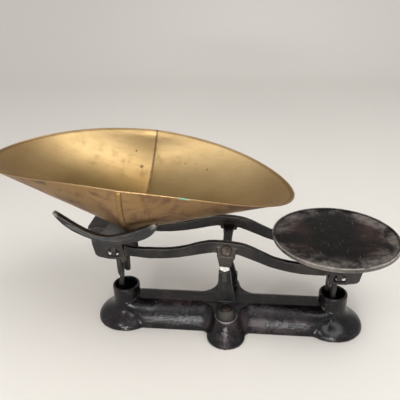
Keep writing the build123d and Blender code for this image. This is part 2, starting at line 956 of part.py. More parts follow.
def cradle_bar(tip_x, tip_z):
    # The bar's two edges, as shares of its length back from the tip
    top = [
        (0, 0), (0.155, -0.067), (0.314, -0.124), (0.474, -0.160),
        (0.626, -0.135), (0.796, -0.047), (1.0, 0.096),
    ]
    bottom = [
        (-0.028, -0.036), (0.025, -0.117), (0.203, -0.209), (0.360, -0.239),
        (0.512, -0.227), (0.720, -0.167), (0.900, -0.059), (1.017, 0.082),
    ]

    def place(share_x, share_z):
        return tip_x - share_x * cradle_bar_long, 0, tip_z + share_z * cradle_bar_long

    upper = Spline(*[place(x, z) for x, z in top])
    lower = Spline(*[place(x, z) for x, z in bottom])
    near = ThreePointArc(upper @ 0, place(-0.024, -0.006), lower @ 0)
    far = ThreePointArc(upper @ 1, place(1.017, 0.095), lower @ 1)
    front = -cradle_bar_in_y - cradle_bar_t
    return across([upper, near, lower, far], front, -cradle_bar_in_y)


def cross_arms(low_x, high_x, mid_z, end_z):
    # Bowed strap under the scoop that joins the deck to both bars
    end_y = cradle_bar_in_y + 1.0
    upper = ThreePointArc((0, -end_y, end_z), (0, 0, mid_z), (0, end_y, end_z))
    lower = ThreePointArc(
        (0, -end_y, end_z - cradle_arm_t),
        (0, 0, mid_z - cradle_arm_t),
        (0, end_y, end_z - cradle_arm_t),
    )
    sides = [Line(upper @ 0, lower @ 0), Line(upper @ 1, lower @ 1)]
    return along([upper, lower] + sides, low_x, high_x)


def make_cradle(x, z):
    deck_top = vertex_z - seam_t - seat_gap
    deck_low = deck_top - deck_t
    tip_z = underside(cradle_tip_x, cradle_bar_in_y) - seat_gap
    inner_x = vertex_x + 7.0
    cradle = block((x - 27, -deck_half_w, deck_low), (inner_x, deck_half_w, deck_top))
    cradle += cross_arms(inner_x - cradle_arm_w, inner_x, deck_top, tip_z - 18.5)
    for shape in both_sides(cradle_bar(cradle_tip_x, tip_z)):
        cradle += shape
    return cradle + carrier_frame(-1, x, z, deck_low + 1) - rivet_hole(-1, x, z)


left_x, left_z = end_pivot(-1)
right_x, right_z = end_pivot(1)
save("scoop_cradle", make_cradle(left_x, left_z))
save("cradle_bearings", *end_bearings(left_x, left_z))
save("cradle_leg", make_leg(-1, left_x, left_z))
save("cradle_leg_rivet", make_rivet(-1, left_x, left_z))
save("cradle_foot_pin", make_foot_pin(left_x, left_z))


# Weight plate and the bracket that carries it

plate_low_z = plate_top_z - plate_t


def make_bracket(x, z):
    deck_low = plate_low_z - plate_deck_t
    deck_mid = plate_low_z - plate_deck_t / 2
    bracket = Pos(plate_x, 0, deck_mid) * Cylinder(plate_deck_r, plate_deck_t)
    bracket -= Pos(plate_x, 0, plate_low_z) * Cylinder(spigot_r + 0.1, 2 * (spigot_h + 0.2))
    bracket += carrier_frame(1, x, z, deck_low + 1)
    bracket -= Pos(plate_x, 0, deck_low) * Cylinder(screw_shank_r + 0.1, 20)
    return bracket - rivet_hole(1, x, z)


def make_plate():
    lip_in = plate_r - plate_lip_w
    outline = Polyline(
        (0, 0, plate_low_z - spigot_h),
        (spigot_r, 0, plate_low_z - spigot_h),
        (spigot_r, 0, plate_low_z),
        (plate_r - 2.5, 0, plate_low_z),
        (plate_r - 0.4, 0, plate_low_z + 1.6),
        (plate_r - 0.4, 0, plate_top_z - 1.9),
        (plate_r - 1.1, 0, plate_top_z - 1.6),
        (plate_r, 0, plate_top_z - 1.2),
        (plate_r - 0.3, 0, plate_top_z - 0.2),
        (plate_r - 1.2, 0, plate_top_z),
        (lip_in + 0.6, 0, plate_top_z - 0.3),
        (lip_in, 0, plate_top_z - plate_recess),
        (0, 0, plate_top_z - plate_recess),
        close=True,
    )
    plate = revolve(make_face(outline), Axis.Z)
    hole = Pos(0, 0, plate_low_z - plate_deck_t) * Cylinder(screw_shank_r, 2 * plate_screw_long)
    return Pos(plate_x, 0, 0) * (plate - hole)


def make_plate_screw():
    screw = Rot(180, 0, 0) * slotted_screw(plate_screw_long)
    return Pos(plate_x, 0, plate_low_z - plate_deck_t) * screw


save("plate_bracket", make_bracket(right_x, right_z))
save("plate_bearings", *end_bearings(right_x, right_z))
save("plate_leg", make_leg(1, right_x, right_z))
save("plate_leg_rivet", make_rivet(1, right_x, right_z))
save("plate_foot_pin", make_foot_pin(right_x, right_z))
save("weight_plate", make_plate())
save("plate_screw", make_plate_screw())


# Scoop: two troughs of sheet brass that meet at a ridge, their rim cut to a long arch

rim_r = (scoop_half_length ** 2 + scoop_crown ** 2) / (2 * scoop_crown)


def trough(side, outer_r, wall, reach):
    # Part of a sloping tube wall, from the middle seam out past the tip
    centre_z = scoop_r - scoop_depth
    ring = Circle(outer_r) - Circle(outer_r - wall)
    lower_half = Pos(0, -past_all / 2, 0) * Rectangle(past_all, past_all)
    face = Plane.YZ * Pos(0, centre_z) * (ring & lower_half)
    run = (side * scoop_half_length, 0, scoop_depth)
    length = sqrt(scoop_half_length ** 2 + scoop_depth ** 2)
    return extrude(face, length * reach, dir=run)


def under_rim(drop):
    # Everything under the arch of the rim
    centre_z = scoop_crown - rim_r - drop
    return Pos(0, 0, centre_z) * Rot(90, 0, 0) * Cylinder(rim_r, past_all)


def make_scoop_half(side):
    half = trough(side, scoop_r, scoop_sheet, 1.1) & under_rim(0)
    hem_wall = scoop_sheet + scoop_hem_t
    hem = trough(side, scoop_r + scoop_hem_t, hem_wall, 1.1) & under_rim(0)
    hem -= under_rim(scoop_hem)
    return half + hem


def make_seam():
    share = seam_w / 2 / scoop_half_length
    below_hem = under_rim(scoop_hem + 0.1)
    seam = trough(1, scoop_r + seam_t, seam_t, share) & below_hem
    return seam + (trough(-1, scoop_r + seam_t, seam_t, share) & below_hem)


save("scoop_right", scoop_place * make_scoop_half(1))
save("scoop_left", scoop_place * make_scoop_half(-1))
save("scoop_seam", scoop_place * make_seam())
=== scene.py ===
import math

import bmesh
import bpy
import numpy as np
from mathutils import Matrix, Vector, noise


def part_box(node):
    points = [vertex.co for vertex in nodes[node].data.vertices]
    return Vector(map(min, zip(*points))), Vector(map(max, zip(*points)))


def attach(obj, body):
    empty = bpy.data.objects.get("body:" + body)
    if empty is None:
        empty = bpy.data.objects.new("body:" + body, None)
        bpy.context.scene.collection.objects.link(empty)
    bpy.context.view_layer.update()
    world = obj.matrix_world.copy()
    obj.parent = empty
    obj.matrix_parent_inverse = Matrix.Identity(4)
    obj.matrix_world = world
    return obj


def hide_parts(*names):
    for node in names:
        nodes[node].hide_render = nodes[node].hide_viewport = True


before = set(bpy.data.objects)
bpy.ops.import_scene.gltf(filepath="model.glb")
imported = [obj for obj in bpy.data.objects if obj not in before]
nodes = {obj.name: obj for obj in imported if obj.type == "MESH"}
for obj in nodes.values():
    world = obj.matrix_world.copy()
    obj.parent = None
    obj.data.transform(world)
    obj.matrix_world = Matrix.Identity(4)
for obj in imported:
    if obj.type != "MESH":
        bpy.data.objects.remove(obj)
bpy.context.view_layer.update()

scene = bpy.context.scene
mm = 0.001
weldGap = 0.002 * mm
bellCentres = (-130.6 * mm, 135.4 * mm)
print("frame loaded:", len(nodes), "nodes")


# Shader kit: a signal is a socket that takes part in sums

class Signal:
    def __init__(self, recipe, socket):
        self.recipe = recipe
        self.socket = socket

    def combine(self, operation, first, second):
        return self.recipe.add("ShaderNodeMath", {"operation": operation}, {0: first, 1: second})

    def __add__(self, other):
        return self.combine("ADD", self, other)

    def __radd__(self, other):
        return self.combine("ADD", other, self)

    def __sub__(self, other):
        return self.combine("SUBTRACT", self, other)

    def __rsub__(self, other):
        return self.combine("SUBTRACT", other, self)

    def __mul__(self, other):
        return self.combine("MULTIPLY", self, other)

    def __rmul__(self, other):
        return self.combine("MULTIPLY", other, self)


class NodeTree:
    def __init__(self, owner):
        owner.use_nodes = True
        self.owner = owner
        self.tree = owner.node_tree
        self.tree.nodes.clear()

    def add(self, kind, settings, inputs, output=0):
        node = self.tree.nodes.new(kind)
        for key, value in settings.items():
            setattr(node, key, value)
        for key, value in inputs.items():
            if isinstance(value, Signal):
                self.tree.links.new(value.socket, node.inputs[key])
            else:
                node.inputs[key].default_value = value
        return Signal(self, node.outputs[output]) if node.outputs else None


class Recipe(NodeTree):
    # the nodes of one material
    def __init__(self, name):
        super().__init__(bpy.data.materials.new(name))
        self.place = self.add("ShaderNodeTexCoord", {}, {}, "Object")

    def moved(self, shift=(0, 0, 0), stretch=(1, 1, 1)):
        shifted = self.add("ShaderNodeVectorMath", {"operation": "ADD"}, {0: self.place, 1: shift})
        scaled = {"operation": "MULTIPLY"}
        return self.add("ShaderNodeVectorMath", scaled, {0: shifted, 1: stretch})

    def cloud(self, size, detail, rough, shift=(0, 0, 0), stretch=(1, 1, 1), warp=0.0):
        inputs = {
            "Vector": self.moved(shift, stretch),
            "Scale": 1.0 / size,
            "Detail": detail,
            "Roughness": rough,
            "Distortion": warp,
        }
        return self.add("ShaderNodeTexNoise", {}, inputs)

    def cells(self, size, shift):
        inputs = {"Vector": self.moved(shift), "Scale": 1.0 / size}
        return self.add("ShaderNodeTexVoronoi", {}, inputs, "Distance")

    def window(self, value, low, high):
        settings = {"interpolation_type": "SMOOTHSTEP"}
        return self.add("ShaderNodeMapRange", settings, {0: value, 1: low, 2: high})

    def edges(self, low, high):
        return self.window(self.add("ShaderNodeNewGeometry", {}, {}, "Pointiness"), low, high)

    def axis(self, letter):
        return self.add("ShaderNodeSeparateXYZ", {}, {0: self.place}, letter)

    def size(self, value):
        return self.add("ShaderNodeMath", {"operation": "ABSOLUTE"}, {0: value})

    def length(self, offset):
        return self.add("ShaderNodeVectorMath", {"operation": "LENGTH"}, {0: offset}, "Value")

    def around(self, x, y):
        # distance from an upright line
        return self.length(self.moved((-x, -y, 0), (1, 1, 0)))

    def away(self, point):
        # distance from a point of the frame
        return self.length(self.moved([-c for c in point]))

    def mix(self, mask, first, second):
        inputs = {0: mask, 6: first, 7: second}
        return self.add("ShaderNodeMix", {"data_type": "RGBA"}, inputs, 2)

    def bump(self, height, distance, strength, under=None):
        inputs = {"Height": height, "Distance": distance, "Strength": strength}
        if under:
            inputs["Normal"] = under
        return self.add("ShaderNodeBump", {}, inputs)

    def finish(self, inputs):
        surface = self.add("ShaderNodeBsdfPrincipled", {}, inputs)
        self.add("ShaderNodeOutputMaterial", {"target": "ALL"}, {"Surface": surface})
        return self.owner


def tint(red, green, blue):
    # linear colour from the numbers of a colour picker
    return [(c / 255) ** 2.2 for c in (red, green, blue)] + [1.0]


# Finishes

japanLooks = {
    "base": {
        "dark": tint(16, 15, 17), "brown": tint(58, 47, 49), "bare": tint(132, 124, 120),
        "patch": 30 * mm, "grain": 2.2 * mm, "lump": 0.62 * mm,
        "rough": 0.11, "dust": 0.09, "shine": 0.31,
    },
    "beam": {
        "dark": tint(18, 16, 15), "brown": tint(44, 38, 34), "bare": tint(108, 98, 88),
        "patch": 30 * mm, "grain": 1.6 * mm, "lump": 0.10 * mm,
        "rough": 0.3, "dust": 0.10, "shine": 0.32,
    },
    "cradle": {
        "dark": tint(32, 30, 30), "brown": tint(54, 50, 48), "bare": tint(150, 144, 138),
        "patch": 26 * mm, "grain": 1.7 * mm, "lump": 0.06 * mm,
        "rough": 0.32, "dust": 0.08, "shine": 0.4,
    },
    "post": {
        "dark": tint(26, 26, 27), "brown": tint(48, 45, 43), "bare": tint(116, 110, 104),
        "patch": 16 * mm, "grain": 1.5 * mm, "lump": 0.06 * mm,
        "rough": 0.34, "dust": 0.10, "shine": 0.24,
    },
}
# What all the japanned castings share
japanWear = {
    "speck": tint(190, 184, 175), "speckSize": 3.4 * mm, "speckGlintShare": 0.3,
    "edge": (0.525, 0.60), "edgeWearAndGlintShare": 0.75, "chipSize": 9 * mm, "chipShare": 0.12,
    "spotRagged": 0.012, "seatRagged": 0.8 * mm, "seatRise": 1.2 * mm, "seatGlintShare": 0.8,
    "bellSkin": 0.12, "bellDull": 0.11, "pitDepth": 0.06 * mm,
}


def japan(name, look, worn=(), rings=(), smooth=()):
    # Black japan over cast iron: brown cast, edges rubbed and painted pale as highlights, chips, settled
    # dust, pale specks painted as glints, pale lines painted round the seats
    recipe = Recipe(name)
    # one on the sandy skin, low on the smooth bells
    sandy = 1.0
    for x, y, near, far in smooth:
        beyond = recipe.window(recipe.around(x, y), near, far)
        sandy = sandy * (japanWear["bellSkin"] + (1 - japanWear["bellSkin"]) * beyond)
    patches = recipe.window(recipe.cloud(look["patch"], 5.0, 0.6, warp=0.4), 0.45, 0.7)
    patches = patches * (0.3 + 0.7 * sandy)
    grain = recipe.cloud(look["grain"], 3.0, 0.6)
    pits = recipe.cloud(look["grain"] * 0.3, 2.0, 0.5, shift=(0.3, 0.1, 0))
    rub = recipe.cloud(look["grain"] * 4, 4.0, 0.65, shift=(0.1, 0.2, 0.4))
    # edges painted pale: rubbed paint, and painted highlights along the rims
    edgeRubAndGlint = recipe.edges(*japanWear["edge"]) * recipe.window(rub, 0.38, 0.62)
    chips = recipe.cells(japanWear["chipSize"], (0.2, 0, 0.1)) + 0.35 * (grain - 0.5)
    chips = recipe.window(chips, 0.14, 0.05)
    # pale specks: painted glints of light on the grainy paint
    specks = recipe.cells(japanWear["speckSize"], (0, 0.3, 0)) + 0.2 * (pits - 0.5)
    specks = recipe.window(specks, 0.10, 0.04)
    colour = recipe.mix(patches * 0.8, look["dark"], look["brown"])
    colour = recipe.mix(look["dust"] * recipe.window(rub, 0.5, 0.8), colour, look["bare"])
    bare = edgeRubAndGlint * japanWear["edgeWearAndGlintShare"] + chips * japanWear["chipShare"]
    # pale spots: rubbed wear on holders and pads, a painted highlight on the cradle bars' tips
    for centre, near, far, amount in worn:
        reach = recipe.away(centre) + japanWear["spotRagged"] * (rub - 0.5)
        bare = bare + amount * recipe.window(reach, far, near) * (1 - bare)
    for x, y, low, radius, width in rings:
        # a pale line painted round a seat: its rubbed rim and a painted highlight on it
        reach = recipe.around(x, y) + japanWear["seatRagged"] * (rub - 0.5) - radius
        line = recipe.window(recipe.size(reach), width, 0.35 * width)
        above = recipe.window(recipe.axis("Z"), low, low + japanWear["seatRise"])
        bare = bare + japanWear["seatGlintShare"] * line * above * (1 - bare)
    colour = recipe.mix(bare, colour, look["bare"])
    colour = recipe.mix(specks * japanWear["speckGlintShare"], colour, japanWear["speck"])
    roughness = look["rough"] + japanWear["bellDull"] * (1 - sandy) + 0.14 * patches
    roughness = roughness + 0.18 * bare + 0.14 * (grain - 0.5)
    height = recipe.bump(grain * sandy, look["lump"], 0.8)
    normal = recipe.bump(pits * sandy, japanWear["pitDepth"], 0.6, height)
    return recipe.finish({
        "Base Color": colour, "Roughness": roughness, "Metallic": 0.35 * bare, "Normal": normal,
        "Specular IOR Level": look["shine"],
    })


steelLook = {"stainSize": 5 * mm, "lineSize": 0.3 * mm, "lineDepth": 0.03 * mm}
# a dark line painted along a slot, by distance from the head's middle and from the slot's own middle
# line
screwSlot = {"head": (9 * mm, 7 * mm), "width": (0.95 * mm, 0.65 * mm), "dirt": tint(24, 20, 18)}


def steel(name, colour, stain, rough, stained=0.5, slots=()):
    # Ground or dulled steel with fine tool lines and brown stain, a dark line painted along the screws'
    # slots
    recipe = Recipe(name)
    stains = recipe.cloud(steelLook["stainSize"], 4.0, 0.6, shift=(0.5, 0, 0.2))
    stains = recipe.window(stains, 0.45, 0.7)
    toolLines = recipe.cloud(steelLook["lineSize"], 2.0, 0.5, stretch=(1, 0.08, 1))
    shade = recipe.mix(stains * stained, colour, stain)
    metal = 0.95 - 0.35 * stained * stains
    for centre, across in slots:
        offset = recipe.moved([-c for c in centre])
        dotted = {"operation": "DOT_PRODUCT"}
        gap = recipe.add("ShaderNodeVectorMath", dotted, {0: offset, 1: across}, "Value")
        near = recipe.window(recipe.away(centre), *screwSlot["head"])
        slot = near * recipe.window(recipe.size(gap), *screwSlot["width"])
        shade = recipe.mix(slot * 0.9, shade, screwSlot["dirt"])
        metal = metal * (1 - slot)
    roughness = rough + 0.25 * stains + 0.15 * (toolLines - 0.5)
    normal = recipe.bump(toolLines, steelLook["lineDepth"], 0.5)
    return recipe.finish({
        "Base Color": shade, "Roughness": roughness, "Metallic": metal, "Normal": normal,
    })


# Scoop sizes, in its own axes: x along it, z up, zero under the middle of the rim
pan = {
    "x": -100.3 * mm, "z": 202.3 * mm, "tilt": 6.6,
    "half": 179.9 * mm, "depth": 61.4 * mm, "crown": 23.1 * mm, "radius": 102.6 * mm,
    "sheet": 0.65 * mm, "beadRadius": 0.8 * mm, "beadOut": 0.25 * mm,
    "beadTall": 1.25, "along": 90, "around": 72, "weld": 0.01 * mm, "sharper": 40,
    "dent": 0.5 * mm, "dentSize": 38 * mm, "dentFade": 20 * mm, "dentLevel": 0.04,
}
pan["rimRadius"] = (pan["half"] ** 2 + pan["crown"] ** 2) / (2 * pan["crown"])

brassLook = {
    "pale": tint(168, 138, 101), "bright": tint(197, 170, 124), "dull": tint(169, 138, 90),
    "brown": tint(126, 97, 64), "rose": tint(124, 94, 76), "smudge": tint(78, 69, 62),
    "shadeOlive": tint(96, 73, 38), "spot": tint(86, 62, 42), "green": tint(122, 170, 142),
    "broadSize": 70 * mm, "blotchSize": 16 * mm, "rosySize": 26 * mm, "smudgeSize": 19 * mm,
    "softSize": 60 * mm, "rubSize": 5 * mm, "fineSize": 0.9 * mm, "raggedSize": 3 * mm,
    "freckleSize": 7.5 * mm, "rosyShare": 0.34, "smudgeShare": 0.75,
    # the low heights, their raggedness and the left half mark where shade is painted inside
    "low": (-4 * mm, -44 * mm), "shadeRagged": 26 * mm, "tips": (105 * mm, 160 * mm),
    "shadedLeftHalf": (10 * mm, -10 * mm), "rimDirt": (3.2 * mm, 1.8 * mm), "foldDirt": (2.2 * mm, 1.0 * mm),
    "rubDepth": 0.05 * mm,
}
# dark spots inside: place and size in millimetres
brassSpots = [(-14, 76, -22, 3.2), (-24, 86.5, -4.5, 2.0), (44, 77, -10.3, 1.6), (74, 66.5, -10.8, 2.2)]


def brass(name, tarnish, rough, turn=0.0, inside=False):
    # Old sheet brass: broad tarnish, rubbing marks along the sheet, spots, dirt at rim and ridge;
    # inside, painted shade towards the bottom and over the left half
    recipe = Recipe(name)
    broad = recipe.cloud(brassLook["broadSize"], 4.0, 0.55, shift=(0.4, turn, 0), warp=0.2)
    broad = recipe.window(broad, 0.3, 0.75)
    blotch = recipe.cloud(brassLook["blotchSize"], 5.0, 0.65, shift=(turn, 0.7, 0))
    blotch = recipe.window(blotch, 0.5, 0.72)
    rubs = recipe.cloud(brassLook["rubSize"], 4.0, 0.6, stretch=(0.12, 1, 1))
    fine = recipe.cloud(brassLook["fineSize"], 3.0, 0.6)
    ragged = recipe.cloud(brassLook["raggedSize"], 2.0, 0.5)
    freckles = recipe.cells(brassLook["freckleSize"], (0, turn, 0.5)) + 0.16 * (fine - 0.5)
    freckles = recipe.window(freckles, 0.07, 0.02)
    colour = recipe.mix(broad * 0.5 + tarnish * 0.5, brassLook["bright"], brassLook["dull"])
    colour = recipe.mix(blotch * (0.05 + 0.4 * tarnish), colour, brassLook["brown"])
    rubbed = recipe.window(rubs, 0.45, 0.75)
    colour = recipe.mix(rubbed * 0.12 + 0.25 * tarnish, colour, brassLook["brown"])
    if not inside:
        rosy = recipe.cloud(brassLook["rosySize"], 4.0, 0.6, shift=(0.9, 0.1, 0.3), warp=0.8)
        rosy = recipe.window(rosy, 0.46, 0.6)
        smudge = recipe.cloud(brassLook["smudgeSize"], 4.0, 0.6, shift=(0.2, 0.5, 0.7))
        smudge = recipe.window(smudge, 0.58, 0.7)
        colour = recipe.mix(brassLook["rosyShare"] + rosy * 0.55, colour, brassLook["rose"])
        colour = recipe.mix(smudge * brassLook["smudgeShare"], colour, brassLook["smudge"])
    if inside:
        # painted shade inside: darker and olive towards the bottom of the trough, and duller over the
        # left half
        soft = recipe.cloud(brassLook["softSize"], 2.0, 0.5, shift=(0.2, turn, 0.6))
        low = recipe.axis("Z") + brassLook["shadeRagged"] * (soft - 0.5)
        low = recipe.window(low, *brassLook["low"])
        tips = recipe.window(recipe.size(recipe.axis("X")), *brassLook["tips"])
        shadedLeftHalf = recipe.window(recipe.axis("X"), *brassLook["shadedLeftHalf"])
        colour = recipe.mix(low * (0.5 + 0.4 * shadedLeftHalf), colour, brassLook["shadeOlive"])
        colour = recipe.mix(shadedLeftHalf * 0.25, colour, brassLook["dull"])
        colour = recipe.mix(tips * 0.5, colour, brassLook["brown"])
    dirt = freckles * 0.4
    for x, y, z, size in brassSpots if inside else []:
        gap = recipe.away((x * mm, y * mm, z * mm)) + 1.6 * mm * (ragged - 0.5)
        dirt = dirt + 0.55 * recipe.window(gap, size * mm, size * 0.4 * mm)
    # distance below the rim, which is an arc as seen from the front
    arc = recipe.moved((0, 0, pan["rimRadius"] - pan["crown"]), (1, 0, 1))
    below = pan["rimRadius"] - recipe.length(arc)
    dirt = dirt + 0.5 * recipe.window(below + 1.2 * mm * (ragged - 0.5), *brassLook["rimDirt"])
    fold = recipe.size(recipe.axis("X")) + 1.0 * mm * (ragged - 0.5)
    dirt = dirt + 0.4 * recipe.window(fold, *brassLook["foldDirt"])
    colour = recipe.mix(dirt, colour, brassLook["spot"])
    roughness = rough + 0.10 * blotch + 0.10 * (rubs - 0.5) + 0.2 * dirt
    normal = recipe.bump(rubs + 0.5 * fine, brassLook["rubDepth"], 0.6)
    return recipe.finish({
        "Base Color": colour, "Roughness": roughness, "Metallic": 1.0 - 0.3 * dirt, "Normal": normal,
    })


rimLook = {
    "raggedSize": 3 * mm, "wornSize": 18 * mm, "nickSize": 9 * mm, "depth": 0.06 * mm,
    "greenAt": (0.063, -0.0937, 0.0200), "greenSize": 6 * mm, "greenRagged": 5 * mm,
}


def rimFinish():
    # the rolled rim, rubbed pale, with one green bloom on the near side
    recipe = Recipe("rimBrass")
    ragged = recipe.cloud(rimLook["raggedSize"], 3.0, 0.55)
    worn = recipe.window(recipe.cloud(rimLook["wornSize"], 4.0, 0.6), 0.4, 0.65)
    nicks = recipe.window(recipe.cells(rimLook["nickSize"], (0.1, 0.4, 0)), 0.14, 0.05)
    colour = recipe.mix(worn * 0.7, brassLook["pale"], brassLook["dull"])
    colour = recipe.mix(nicks * 0.5, colour, brassLook["brown"])
    bloom = recipe.away(rimLook["greenAt"]) + rimLook["greenRagged"] * (ragged - 0.5)
    green = recipe.window(bloom, rimLook["greenSize"], rimLook["greenSize"] * 0.6)
    colour = recipe.mix(green * 0.9, colour, brassLook["green"])
    return recipe.finish({
        "Base Color": colour,
        "Roughness": 0.34 + 0.15 * (ragged - 0.5) + 0.3 * green,
        "Metallic": 1.0 - 0.85 * green,
        "Normal": recipe.bump(ragged, rimLook["depth"], 0.5),
    })


seamLook = {
    "raggedSize": 3 * mm, "stainSize": 12 * mm, "edgeRagged": 0.8 * mm, "depth": 0.1 * mm,
    "bothEdges": (2.1 * mm, 2.8 * mm), "rightEdge": (1.1 * mm, 1.7 * mm),
}


def seamFinish():
    # Brass strip over the ridge, dark along both of its soldered edges
    recipe = Recipe("seamBrass")
    ragged = recipe.cloud(seamLook["raggedSize"], 4.0, 0.6)
    wander = seamLook["edgeRagged"] * (ragged - 0.5)
    rightEdge = recipe.window(recipe.axis("X") + wander, *seamLook["rightEdge"])
    bothEdges = recipe.window(recipe.size(recipe.axis("X")) + wander, *seamLook["bothEdges"])
    dark = 0.55 * bothEdges + 0.45 * rightEdge
    stains = recipe.window(recipe.cloud(seamLook["stainSize"], 4.0, 0.6), 0.45, 0.7)
    colour = recipe.mix(0.4 + stains * 0.5, brassLook["dull"], brassLook["brown"])
    colour = recipe.mix(dark * 0.9, colour, brassLook["spot"])
    return recipe.finish({
        "Base Color": colour,
        "Roughness": 0.42 + 0.25 * dark + 0.1 * (ragged - 0.5),
        "Metallic": 1.0 - 0.4 * dark,
        "Normal": recipe.bump(ragged, seamLook["depth"], 0.6),
    })


plateLook = {
    "centre": (0.1297, 0.0, 0.1296),
    "black": tint(5, 5, 7), "brown": tint(60, 43, 40), "grey": tint(118, 112, 106),
    "bare": tint(178, 173, 165), "speck": tint(200, 196, 188),
    "driftSize": 34 * mm, "mottleSize": 7 * mm, "fineSize": 1.2 * mm, "speckSize": 4.5 * mm,
    "lineSize": 1.1 * mm, "otherLineSize": 1.0 * mm,
    "ring": (46 * mm, 71 * mm), "sides": (20 * mm, 52 * mm), "wall": (73.2 * mm, 74.0 * mm),
    "rimShadowRing": 71.2 * mm, "rimShadowHalf": (1.3 * mm, 0.5 * mm), "edge": (0.515, 0.56), "edgeWearAndGlintShare": 0.62,
    "lump": 0.25 * mm, "pitDepth": 0.07 * mm, "shine": 0.11,
}


def plateFinish():
    # Black weight plate, rubbed brown and grey where weights slide, scratched, rim bare and painted pale
    # along its edges, a shadow painted as a dark ring inside the rim
    recipe = Recipe("platePaint")
    radius = recipe.away(plateLook["centre"])
    drift = recipe.cloud(plateLook["driftSize"], 5.0, 0.62, shift=(0.31, 0.2, 0), warp=0.5)
    mottle = recipe.cloud(plateLook["mottleSize"], 5.0, 0.65, shift=(0.1, 0, 0.3))
    fine = recipe.cloud(plateLook["fineSize"], 3.0, 0.6)
    ring = recipe.window(radius + 0.04 * (drift - 0.5), *plateLook["ring"])
    rubbed = ring * recipe.window(drift + 0.5 * (mottle - 0.5) + 0.2 * (fine - 0.5), 0.34, 0.66)
    sideways = recipe.size(recipe.axis("X") - plateLook["centre"][0])
    sides = recipe.window(sideways + 0.06 * (drift - 0.5), *plateLook["sides"])
    patch = sides * recipe.window(drift + 0.35 * (mottle - 0.5), 0.36, 0.56)
    colour = recipe.mix(patch * 0.75, plateLook["black"], plateLook["brown"])
    colour = recipe.mix(rubbed * 0.85, colour, plateLook["grey"])
    lines = recipe.cloud(plateLook["lineSize"], 2.0, 0.5, shift=(0.2, 0.1, 0), stretch=(1, 0.07, 1))
    scratches = recipe.window(lines, 0.68, 0.76)
    lines = recipe.cloud(plateLook["otherLineSize"], 2.0, 0.5, shift=(0.7, 0.3, 0), stretch=(0.09, 1, 1))
    scratches = scratches + recipe.window(lines, 0.69, 0.77)
    # edges painted pale: the rim's bare edges, and a painted highlight along them
    edge = recipe.edges(*plateLook["edge"]) * recipe.window(mottle, 0.3, 0.55)
    specks = recipe.cells(plateLook["speckSize"], (0, 0.3, 0)) + 0.2 * (fine - 0.5)
    specks = recipe.window(specks, 0.075, 0.025)
    bare = scratches * 0.25 + edge * plateLook["edgeWearAndGlintShare"]
    wall = recipe.window(radius, *plateLook["wall"])
    colour = recipe.mix(wall * (0.16 + 0.3 * mottle), colour, plateLook["grey"])
    # painted shadow: a dark ring just inside the rim, where the lip meets the plate's floor
    rimShadowRing = recipe.size(radius - plateLook["rimShadowRing"])
    rimShadowRing = recipe.window(rimShadowRing, *plateLook["rimShadowHalf"])
    colour = recipe.mix(rimShadowRing * 0.7, colour, plateLook["black"])
    colour = recipe.mix(bare, colour, plateLook["bare"])
    colour = recipe.mix(specks * 0.5, colour, plateLook["speck"])
    roughness = 0.36 + 0.2 * rubbed + 0.16 * (mottle - 0.5) + 0.1 * patch
    height = recipe.bump(mottle, plateLook["lump"], 0.5)
    normal = recipe.bump(fine, plateLook["pitDepth"], 0.5, height)
    return recipe.finish({
        "Base Color": colour, "Roughness": roughness, "Metallic": 0.3 * bare, "Normal": normal,
        "Specular IOR Level": plateLook["shine"],
    })


# Where the castings are rubbed, where highlights are painted on seats and bar tips, and where the
# screws' slots lie
screwSlots = [
    ((0.0026, -0.0395, 0.1235), (-0.94, 0.0, 0.34)),
    ((0.0026, 0.0395, 0.1235), (0.94, 0.0, 0.34)),
    ((0.0024, -0.0400, 0.0455), (0.87, 0.5, 0.0)),
    ((0.0024, 0.0400, 0.0455), (0.87, 0.5, 0.0)),
]
# pale lines round the posts' seats on the base, painted as rubbed rims with a highlight on them
seatGlintRings = [(0.0024, y, 26 * mm, 13.0 * mm, 0.7 * mm) for y in (-0.0360, 0.0360)]
holderWear = [((0.0, y, 0.120), 5 * mm, 22 * mm, 0.24) for y in (-0.040, 0.040)]
padWear = [((0.0024, y, 0.0390), 3 * mm, 11 * mm, 0.25) for y in (-0.045, 0.045)]
barTips = [(x, y, z) for x, z in ((-0.0725, 0.1775), (-0.1765, 0.1865)) for y in (-0.0755, 0.0755)]
# pale spots painted on the cradle bars' tips: a painted highlight
tipHighlight = [(tip, 2 * mm, 7 * mm, 0.7) for tip in barTips]
smoothBells = [(x, 0.0, 36 * mm, 46 * mm) for x in bellCentres]
finishes = {
    "baseJapan": japan("baseJapan", japanLooks["base"], rings=seatGlintRings, smooth=smoothBells),
    "postJapan": japan("postJapan", japanLooks["post"], padWear),
    "beamJapan": japan("beamJapan", japanLooks["beam"], holderWear),
    "holderJapan": japan("holderJapan", japanLooks["beam"], holderWear),
    "cradleJapan": japan("cradleJapan", japanLooks["cradle"], tipHighlight),
    "platePaint": plateFinish(),
    "knifeSteel": steel("knifeSteel", tint(235, 234, 230), tint(180, 175, 168), 0.24, stained=0.3),
    "bearingSteel": steel("bearingSteel", tint(70, 68, 66), tint(48, 43, 40), 0.42),
    "screwSteel": steel("screwSteel", tint(88, 78, 70), tint(56, 47, 41), 0.4, slots=screwSlots),
    "rodSteel": steel("rodSteel", tint(72, 70, 68), tint(50, 44, 40), 0.46),
    "insideBrass": brass("insideBrass", 0.1, 0.45, inside=True),
    "outsideBrass": brass("outsideBrass", 1.0, 0.48, 0.3),
    "rimBrass": rimFinish(),
    "seamBrass": seamFinish(),
    "solder": steel("solder", tint(134, 108, 72), tint(70, 53, 36), 0.5, stained=0.8),
}
print("finishes made:", len(finishes))


# Castings: the frame's solids with their corners rounded and the skin of sand casting

